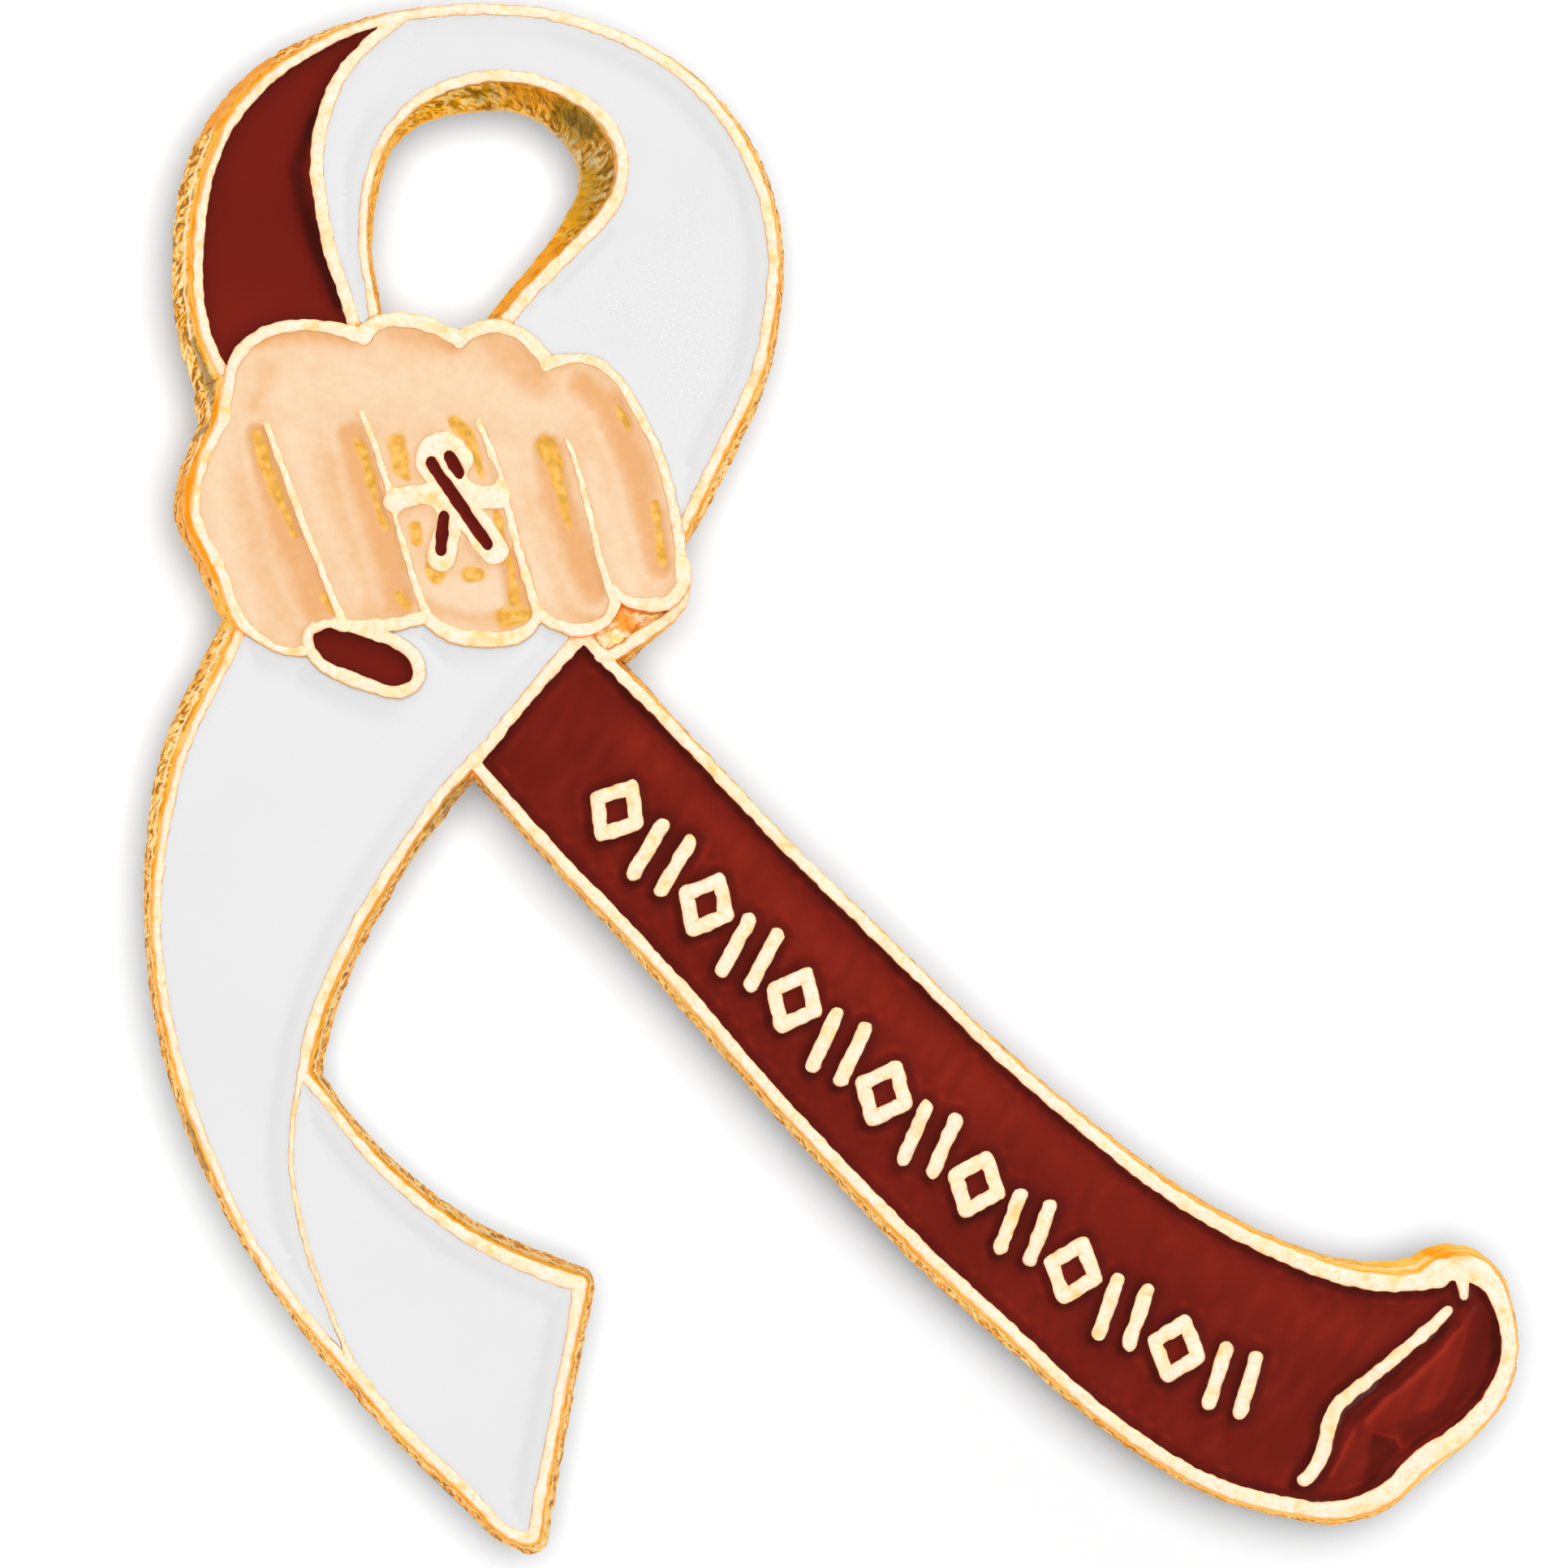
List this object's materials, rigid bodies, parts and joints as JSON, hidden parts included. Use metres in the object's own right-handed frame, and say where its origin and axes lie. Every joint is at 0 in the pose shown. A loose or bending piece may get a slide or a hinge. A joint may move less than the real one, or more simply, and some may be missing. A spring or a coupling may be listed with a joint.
{
  "type": "lapel pin",
  "caption": "Crossed awareness ribbon lapel pin gripped by a fist, struck in gilt metal with white, burgundy and peach enamel.",
  "frame": {"origin": "centre of the bounding box's bottom face, level with the surface that the pin lies on", "axes": "the pin lies face up: +Z out of the enamelled face, +Y up the face towards the loop, +X to the viewer's right"},
  "size_m": [0.0282, 0.0316, 0.0052],
  "materials": {
    "gilt_metal": "bright gold plating over a cast zinc alloy body, with a rough side wall",
    "gilt_fitting": "bright gold plating over brass",
    "burgundy_enamel": "glossy hardened burgundy enamel",
    "white_enamel": "glossy hardened white enamel",
    "peach_enamel": "glossy translucent peach enamel over gilt metal"
  },
  "bodies": {
    "root": {"plate": "gilt_metal", "brooch_pin": "gilt_fitting", "loop_burgundy": "burgundy_enamel", "right_tail_burgundy": "burgundy_enamel", "thumb_nail": "burgundy_enamel", "ring_strip_long": "burgundy_enamel", "ring_strip_short": "burgundy_enamel", "ring_strip_low": "burgundy_enamel", "frieze_drop_1": "burgundy_enamel", "frieze_drop_2": "burgundy_enamel", "frieze_drop_3": "burgundy_enamel", "frieze_drop_4": "burgundy_enamel", "frieze_drop_5": "burgundy_enamel", "frieze_drop_6": "burgundy_enamel", "frieze_drop_7": "burgundy_enamel", "loop_white": "white_enamel", "left_tail_white": "white_enamel", "folded_end_white": "white_enamel", "fist_peach": "peach_enamel", "fingertip_peach": "peach_enamel"}
  },
  "joints": []
}
